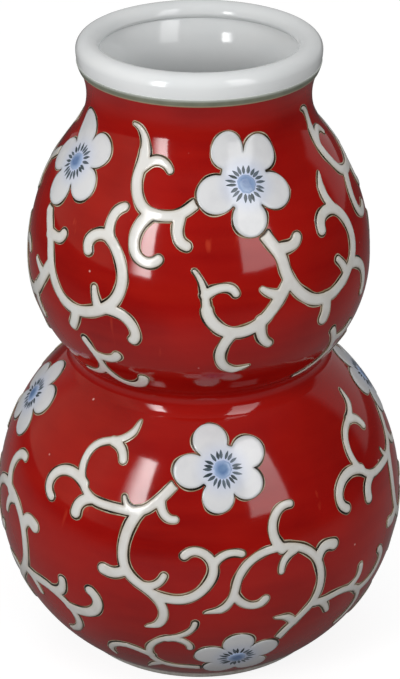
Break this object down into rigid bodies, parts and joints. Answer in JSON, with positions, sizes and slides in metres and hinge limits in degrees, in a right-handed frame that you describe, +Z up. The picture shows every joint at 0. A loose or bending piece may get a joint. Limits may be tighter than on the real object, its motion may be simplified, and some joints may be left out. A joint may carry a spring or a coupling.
{
  "type": "double gourd vase",
  "caption": "Double gourd ceramic vase: two round bulbs joined at a waist, with a short neck, rolled lip and foot ring, decorated with raised vines and plum blossoms; holds flowers.",
  "frame": {"origin": "middle of the flat ring that the vase stands on", "axes": "+Z up along the vase's axis, -Y towards the front"},
  "size_m": [0.1208, 0.1208, 0.1847],
  "materials": {
    "red_glaze": "glossy iron-red glaze",
    "white_glaze": "glossy white glaze",
    "white_enamel": "raised glossy white enamel",
    "blue_enamel": "raised pale blue enamel",
    "band_glaze": "grey-green glaze line",
    "bare_clay": "unglazed fired clay"
  },
  "bodies": {
    "root": {"foot_ring": "bare_clay", "base_floor": "red_glaze", "lower_bowl": "red_glaze", "lower_shoulder": "red_glaze", "waist_joint": "red_glaze", "upper_bowl": "red_glaze", "upper_shoulder": "red_glaze", "rolled_lip": "white_glaze", "neck_band": "band_glaze", "upper_stem_vines": "white_enamel", "upper_neck_vines": "white_enamel", "waist_vines": "white_enamel", "lower_scroll_vines": "white_enamel", "lower_arch_vines": "white_enamel", "foot_vines": "white_enamel", "upper_blossoms": "white_enamel", "lower_blossoms": "white_enamel", "foot_blossoms": "white_enamel", "upper_blossom_eyes": "blue_enamel", "lower_blossom_eyes": "blue_enamel"}
  },
  "joints": []
}
